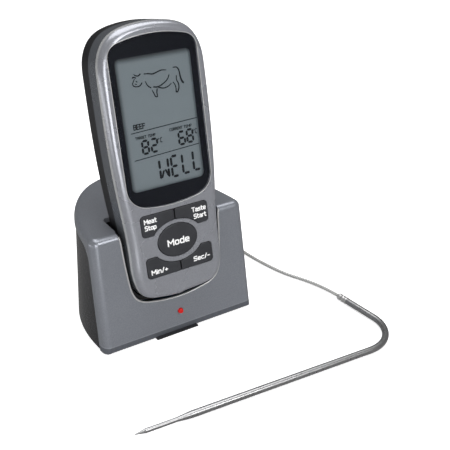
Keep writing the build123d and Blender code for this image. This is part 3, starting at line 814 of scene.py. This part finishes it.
# a cow, facing left: back, tail, hind legs, belly, flank, foreleg, horns, head
COW = [
    ([(-5.2, 136.4), (-2.8, 136.1), (-0.8, 135.6)], 0.5, 0.7),
    ([(-0.8, 135.6), (1.4, 136.1), (4.0, 136.7), (6.7, 136.3)], 0.7, 0.45),
    ([(10.3, 136.9), (12.3, 136.8), (13.4, 135.0), (13.7, 132.4), (14.2, 130.2), (15.2, 128.7)], 0.5, 1.0),
    ([(11.7, 133.0), (11.5, 131.0), (12.3, 129.0), (12.3, 127.0), (11.6, 125.4)], 0.45, 0.7),
    ([(9.5, 130.2), (10.5, 128.3), (10.7, 126.6), (10.6, 125.3), (11.7, 125.1)], 0.45, 0.75),
    ([(7.9, 134.0), (6.6, 131.9), (3.8, 130.1), (1.0, 129.3), (-1.2, 129.6)], 0.5, 0.7),
    ([(-4.9, 132.9), (-4.1, 130.8), (-2.3, 129.3)], 0.45, 0.6),
    ([(1.4, 129.0), (3.9, 128.2), (6.4, 128.5), (8.5, 129.7)], 0.65, 0.45),
    ([(-2.0, 128.2), (-1.3, 126.6), (-0.6, 125.0), (0.4, 124.9), (0.3, 126.8), (0.8, 128.6)], 0.5, 0.65),
    ([(-10.4, 137.1), (-9.6, 136.3), (-8.2, 136.0), (-6.9, 136.8)], 0.45, 0.65),
    ([(-11.5, 135.4), (-10.5, 135.7), (-9.5, 135.1)], 0.65, 0.5),
    ([(-10.3, 134.9), (-11.0, 133.8), (-11.6, 132.6), (-10.9, 131.5), (-9.2, 131.1), (-7.7, 131.5),
      (-6.7, 132.6)], 0.45, 0.6),
    ([(-9.8, 133.8), (-9.0, 133.2)], 0.6, 0.45),
    ([(-10.4, 132.5), (-9.4, 132.2)], 0.5, 0.35),
]
for points, start_width, end_width in COW:
    stroke(points, start_width, end_width)


def ink_mesh():
    """All the display's shapes as one thin printed layer."""
    merged = bmesh.new()
    for edges in ink_lines:
        add_strip(merged, edges, LCD_OUT, LCD_OUT + INK_THICK)
    bmesh.ops.recalc_face_normals(merged, faces=merged.faces[:])
    rings = [degree_mark(x, y) for x, y in ((-2.1, 104.7), (17.5, 105.2))]
    for loops in [[loop] for loop in ink_bars] + rings:
        part = plate_mesh("ink", loops, LCD_OUT, LCD_OUT + INK_THICK, RECEIVER)
        merged.from_mesh(part)
        bpy.data.meshes.remove(part)
    mesh = bpy.data.meshes.new("display_segments")
    merged.to_mesh(mesh)
    merged.free()
    return mesh


segments = new_object("display_segments", ink_mesh(), LCD_INK, "receiver", smooth=False)


# ------------------------------------------------------------------ the bright edge of the dock's cut-out, a rounded lip whose lighter paint is a painted highlight
CUT_HALF = [
    (0.0, 19.9), (12.0, 21.0), (21.2, 23.6), (25.4, 29.5),
    (26.9, 40.0), (27.7, 52.0), (28.0, 57.5), (28.6, 60.6),
]
cut_line = smooth_line([(-x, v) for x, v in reversed(CUT_HALF[1:])] + CUT_HALF, 10)
# the lip is real; its lighter paint is a painted highlight
cut_lip = bead("cut_out_edge", cut_line, -0.1, 0.45, HIGHLIGHT_EDGE_PAINT, "dock", DOCK_FACE, closed=False)

# ------------------------------------------------------------------ printed words and signs
# a plain squarish stroke alphabet: the lines of each character, with capitals one unit high
BOWL = [(0.28, 0), (0.47, 0), (0.55, 0.08), (0.55, 0.6), (0.47, 0.68), (0.08, 0.68), (0, 0.6), (0, 0.08),
        (0.08, 0), (0.27, 0)]
ALPHABET = {
    "M": [[(0, 0), (0, 1)], [(0, 0.96), (0.42, 0.4)], [(0.42, 0.4), (0.84, 0.96)], [(0.84, 1), (0.84, 0)]],
    "S": [[(0.64, 1), (0.1, 1), (0, 0.9), (0, 0.62), (0.1, 0.52), (0.54, 0.52), (0.64, 0.42), (0.64, 0.1),
           (0.54, 0), (0, 0)]],
    "T": [[(0, 1), (0.66, 1)], [(0.33, 1), (0.33, 0)]],
    "B": [[(0, 0), (0, 1)], [(0, 1), (0.5, 1), (0.6, 0.9), (0.6, 0.62), (0.5, 0.52)],
          [(0.05, 0.52), (0.5, 0.52), (0.6, 0.42), (0.6, 0.1), (0.5, 0), (0, 0)]],
    "E": [[(0, 0), (0, 1)], [(0.05, 1), (0.56, 1)], [(0.05, 0.52), (0.48, 0.52)], [(0.05, 0), (0.56, 0)]],
    "F": [[(0, 0), (0, 1)], [(0.05, 1), (0.56, 1)], [(0.05, 0.52), (0.48, 0.52)]],
    "A": [[(0, 0), (0, 0.8), (0.15, 1), (0.45, 1), (0.6, 0.8), (0.6, 0)], [(0, 0.42), (0.6, 0.42)]],
    "R": [[(0, 0), (0, 1)], [(0.05, 1), (0.5, 1), (0.6, 0.9), (0.6, 0.6), (0.5, 0.5), (0.05, 0.5)],
          [(0.3, 0.5), (0.62, 0)]],
    "G": [[(0.6, 0.86), (0.5, 1), (0.1, 1), (0, 0.9), (0, 0.1), (0.1, 0), (0.5, 0), (0.6, 0.1), (0.6, 0.48),
           (0.34, 0.48)]],
    "C": [[(0.6, 1), (0.1, 1), (0, 0.9), (0, 0.1), (0.1, 0), (0.6, 0)]],
    "U": [[(0, 1), (0, 0.1), (0.1, 0), (0.5, 0), (0.6, 0.1), (0.6, 1)]],
    "N": [[(0, 0), (0, 1)], [(0, 1), (0.6, 0)], [(0.6, 0), (0.6, 1)]],
    "P": [[(0, 0), (0, 1)], [(0.05, 1), (0.5, 1), (0.6, 0.9), (0.6, 0.55), (0.5, 0.45), (0.05, 0.45)]],
    "a": [[(0.06, 0.68), (0.44, 0.68), (0.52, 0.6), (0.52, 0)],
          [(0.5, 0), (0.08, 0), (0, 0.08), (0, 0.3), (0.08, 0.38), (0.5, 0.38)]],
    "c": [[(0.5, 0.68), (0.08, 0.68), (0, 0.6), (0, 0.08), (0.08, 0), (0.5, 0)]],
    "d": [BOWL, [(0.55, 1), (0.55, 0)]],
    "e": [[(0.53, 0.34), (0.53, 0.6), (0.45, 0.68), (0.08, 0.68), (0, 0.6), (0, 0.08), (0.08, 0), (0.51, 0)],
          [(0.05, 0.34), (0.53, 0.34)]],
    "i": [[(0, 0), (0, 0.68)], [(0, 0.88), (0, 1.0)]],
    "n": [[(0, 0), (0, 0.68)], [(0, 0.68), (0.43, 0.68), (0.51, 0.6), (0.51, 0)]],
    "o": [BOWL],
    "p": [[(0, 0), (0.47, 0), (0.55, 0.08), (0.55, 0.6), (0.47, 0.68), (0, 0.68)], [(0, 0.68), (0, -0.28)]],
    "r": [[(0, 0), (0, 0.68)], [(0, 0.5), (0.14, 0.68), (0.36, 0.68)]],
    "s": [[(0.5, 0.68), (0.08, 0.68), (0, 0.61), (0, 0.42), (0.08, 0.35), (0.44, 0.35), (0.52, 0.27),
           (0.52, 0.07), (0.44, 0), (0, 0)]],
    "t": [[(0.12, 0.96), (0.12, 0.08), (0.2, 0), (0.4, 0)], [(-0.02, 0.68), (0.38, 0.68)]],
    "/": [[(0, -0.06), (0.38, 1.02)]],
    "+": [[(0, 0.4), (0.46, 0.4)], [(0.23, 0.17), (0.23, 0.63)]],
    "-": [[(0, 0.4), (0.4, 0.4)]],
}
LETTER_GAP = 0.27
WORD_GAP = 0.47


def lengthened(points, extra):
    """An open line with both ends drawn out a little."""
    result = list(points)
    for end, following in ((0, 1), (-1, -2)):
        (ax, ay), (bx, by) = points[end], points[following]
        length = math.hypot(ax - bx, ay - by)
        result[end] = (ax + (ax - bx) / length * extra, ay + (ay - by) / length * extra)
    return result


def lettering(name, text, x0, x1, y, height, weight, out, material, body):
    """Generic words as a thin print that fills a width on the receiver's face."""
    lines, reach = [], 0.0
    for character in text:
        if character == " ":
            reach += WORD_GAP
            continue
        drawn = ALPHABET[character]
        lines += [[(reach + px, py) for px, py in line] for line in drawn]
        reach += max(px for line in drawn for px, _ in line) + LETTER_GAP
    reach -= LETTER_GAP
    stretch = (x1 - x0 - weight) / reach
    rise = height - weight
    merged = bmesh.new()
    for i, line in enumerate(lines):
        points = [(x0 + weight / 2 + px * stretch, y + weight / 2 + py * rise) for px, py in line]
        if math.dist(points[0], points[-1]) > 0.1 * height:
            points = lengthened(points, weight * 0.45)
        layer = out + 0.002 * (i % 4)       # crossing lines don't share a surface
        add_strip(merged, ribbon(points, weight, steps=1), layer, layer + INK_THICK)
    bmesh.ops.recalc_face_normals(merged, faces=merged.faces[:])
    mesh = bpy.data.meshes.new(name)
    merged.to_mesh(mesh)
    merged.free()
    word = new_object(name, mesh, material, body, smooth=False)
    return word


KEY_OUT = 0.455
# each word's piece, text, left and right edges, foot, height, line width, and the key it is printed on
LEGENDS = [
    ("stop_legend_meat", "Meat", -17.1, -10.1, 65.2, 2.55, 0.5, "key_upper_left"),
    ("stop_legend", "Stop", -17.1, -10.7, 61.9, 2.55, 0.5, "key_upper_left"),
    ("start_legend_taste", "Taste", 9.6, 17.7, 64.8, 2.6, 0.5, "key_upper_right"),
    ("start_legend", "Start", 10.3, 17.6, 61.2, 2.6, 0.5, "key_upper_right"),
    ("mode_legend", "Mode", -6.0, 6.4, 50.7, 3.6, 0.68, "mode_key"),
    ("minute_legend", "Min/+", -16.8, -7.6, 38.6, 2.7, 0.52, "key_lower_left"),
    ("second_legend", "Sec/-", 7.3, 16.9, 39.2, 2.6, 0.52, "key_lower_right"),
]
for name, text, x0, x1, y, height, weight, body in LEGENDS:
    lettering(name, text, x0, x1, y, height, weight, KEY_OUT, KEY_INK, body)

LCD_WORDS = [
    ("display_word_kind", "BEEF", -14.4, -8.1, 111.1, 2.7, 0.5),
    ("display_word_target", "TARGET TEMP", -14.2, -3.3, 106.4, 1.45, 0.3),
    ("display_word_current", "CURRENT TEMP", 4.3, 16.7, 107.0, 1.5, 0.3),
]
for name, text, x0, x1, y, height, weight in LCD_WORDS:
    lettering(name, text, x0, x1, y, height, weight, LCD_OUT, LCD_INK, "receiver")

# ------------------------------------------------------------------ stage, lights and world
FLOOR_HALF = 0.9
FLOOR_Z = -0.0002
floor_corners = [(x * FLOOR_HALF, y * FLOOR_HALF, FLOOR_Z) for x, y in ((-1, -1), (1, -1), (1, 1), (-1, 1))]
stage_mesh = mesh_from("floor", floor_corners, [(0, 1, 2, 3)])
floor = bpy.data.objects.new("floor", stage_mesh)
bpy.context.collection.objects.link(floor)
floor_shader = Shader("floor_white", (0.9, 0.9, 0.9), 0.7)
floor_shader.set("Emission Color", (1, 1, 1, 1))
camera_only = floor_shader.node("ShaderNodeMapRange")
camera_only.inputs["To Min"].default_value = 0.1
camera_only.inputs["To Max"].default_value = 0.62
# in reflections the table is a quiet grey, as under a studio's flags
mirrored = floor_shader.node("ShaderNodeLightPath")
floor_shader.link(mirrored.outputs["Is Camera Ray"], camera_only.inputs["Value"])
floor_shader.link(camera_only.outputs["Result"], floor_shader.main.inputs["Emission Strength"])
quiet = floor_shader.node("ShaderNodeEmission", Strength=0.16)
either = floor_shader.node("ShaderNodeMixShader")
floor_shader.link(mirrored.outputs["Is Glossy Ray"], either.inputs["Fac"])
floor_shader.link(floor_shader.main.outputs["BSDF"], either.inputs[1])
floor_shader.link(quiet.outputs["Emission"], either.inputs[2])
floor_shader.link(either.outputs["Shader"], floor_shader.tree.nodes["Material Output"].inputs["Surface"])
stage_mesh.materials.append(floor_shader.material)


def softbox(name, place, target, width, height, power):
    data = bpy.data.lights.new(name, "AREA")
    data.shape = "RECTANGLE"
    data.size = width
    data.size_y = height
    data.energy = power
    light = bpy.data.objects.new(name, data)
    light.location = place
    light.rotation_euler = (Vector(target) - Vector(place)).to_track_quat("-Z", "Y").to_euler()
    bpy.context.collection.objects.link(light)
    return light


CENTRE = (0.0, 0.0, 0.08)
softbox("top_softbox", (0.1, 0.1, 0.9), CENTRE, 0.8, 0.8, 6.0)
softbox("front_strip", (-0.31, -0.55, 0.12), CENTRE, 0.24, 0.5, 1.7)
softbox("left_card", (-0.42, 0.05, 0.04), CENTRE, 0.4, 0.05, 0.16)
softbox("front_fill", (0.25, -1.0, 0.75), CENTRE, 0.5, 0.5, 4.2)

# the world: white behind the object, dim as light, and nearly dark in reflections
world = bpy.data.worlds.new("studio")
bpy.context.scene.world = world
world.use_nodes = True
world_nodes = world.node_tree.nodes
links = world.node_tree.links


def background(strength):
    node = world_nodes.new("ShaderNodeBackground")
    node.inputs["Color"].default_value = (1, 1, 1, 1)
    node.inputs["Strength"].default_value = strength
    return node.outputs["Background"]


def either_of(ray, otherwise, if_so):
    """One light for a kind of ray, and another for the rest."""
    node = world_nodes.new("ShaderNodeMixShader")
    links.new(rays.outputs[ray], node.inputs["Fac"])
    links.new(otherwise, node.inputs[1])
    links.new(if_so, node.inputs[2])
    return node.outputs["Shader"]


rays = world_nodes.new("ShaderNodeLightPath")
reflected = either_of("Is Glossy Ray", background(0.45), background(0.07))
surroundings = either_of("Is Camera Ray", reflected, background(1.0))
links.new(surroundings, world_nodes["World Output"].inputs["Surface"])
bpy.context.scene.view_settings.view_transform = "Standard"
